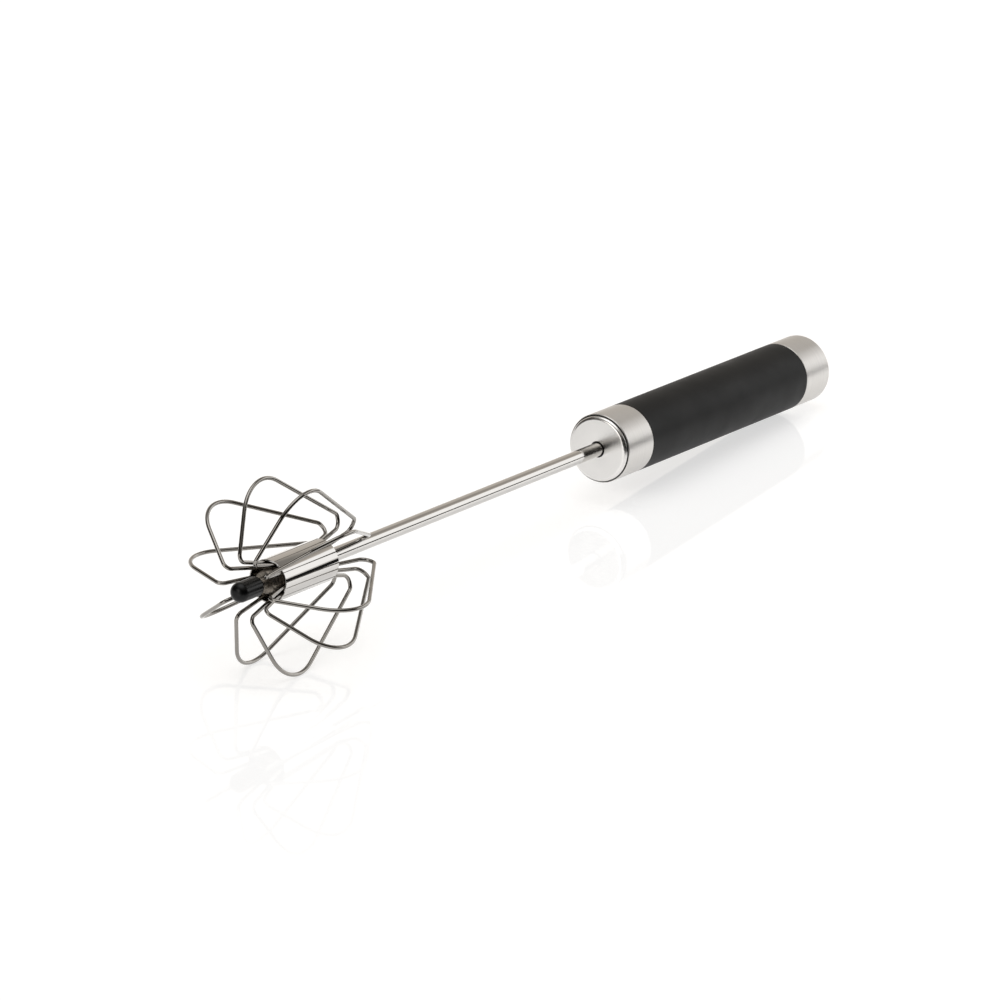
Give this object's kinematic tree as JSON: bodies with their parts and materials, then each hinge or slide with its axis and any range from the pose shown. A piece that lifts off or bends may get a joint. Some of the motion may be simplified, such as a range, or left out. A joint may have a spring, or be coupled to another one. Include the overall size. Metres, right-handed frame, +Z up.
{
  "type": "rotary hand whisk",
  "caption": "Push-action hand whisk: pressing the sprung handle along the shaft spins a head of wire loops above a small foot.",
  "frame": {"origin": "on the table, below the middle of the object's box, with the whisk lying on two loops and the rim of its butt", "axes": "+X along the tool from the whisk to the butt, +Z up; the tool axis lies in the XZ plane and dips 3.39 degrees towards the butt"},
  "size_m": [0.3646, 0.0676, 0.0652],
  "materials": {
    "brushed_steel": "stainless steel, finely brushed round the handle",
    "polished_steel": "polished stainless steel",
    "wire_steel": "polished stainless wire",
    "soft_grip": "matte soft-touch coating",
    "black_seal": "black rubber",
    "black_bush": "black acetal",
    "white_acetal": "natural acetal",
    "core_aluminium": "drawn tube",
    "spring_steel": "bright drawn spring steel",
    "foot_rubber": "smooth black silicone"
  },
  "bodies": {
    "handle": {"handle_tube": "core_aluminium", "grip_sleeve": "soft_grip", "front_ferrule": "brushed_steel", "seal_ring": "black_seal", "front_cap": "polished_steel", "guide_bush": "black_bush", "rear_cap": "brushed_steel", "strip_anchor": "white_acetal", "anchor_pin": "spring_steel", "drive_strip": "spring_steel", "return_spring": "spring_steel"},
    "slider": {"spring_seat": "white_acetal"},
    "whisk": {"shaft_tube": "polished_steel", "stop_collar": "polished_steel", "drive_nut": "white_acetal", "hub_sleeve": "polished_steel", "front_wire_plug": "polished_steel", "rear_wire_plug": "polished_steel", "foot_pin": "polished_steel", "whisk_wire_01": "wire_steel", "whisk_wire_02": "wire_steel", "whisk_wire_03": "wire_steel", "whisk_wire_04": "wire_steel", "whisk_wire_05": "wire_steel", "whisk_wire_06": "wire_steel", "whisk_wire_07": "wire_steel", "whisk_wire_08": "wire_steel", "whisk_wire_09": "wire_steel", "whisk_wire_10": "wire_steel"},
    "foot": {"foot": "foot_rubber"}
  },
  "joints": [
    {"name": "press_slide", "type": "slide", "parent": "handle", "child": "slider", "axis": [0.9982, 0, -0.0592], "range_m": [0, 0.06], "stiffness_N_per_m": 330, "springref_m": -0.012, "deforming": ["return_spring"]},
    {"name": "whisk_spin", "type": "hinge", "parent": "slider", "child": "whisk", "pos_m": [0.05647, -0.00009, 0.01985], "axis": [0.9982, 0, -0.0592], "range_deg": [-10, 730]},
    {"name": "foot_spin", "type": "hinge", "parent": "whisk", "child": "foot", "pos_m": [-0.16993, -0.00009, 0.03328], "axis": [0.9982, 0, -0.0592], "continuous": true}
  ],
  "couplings": [
    {"joint": "whisk_spin", "follows": "press_slide", "rad_per_m": 209.44}
  ]
}
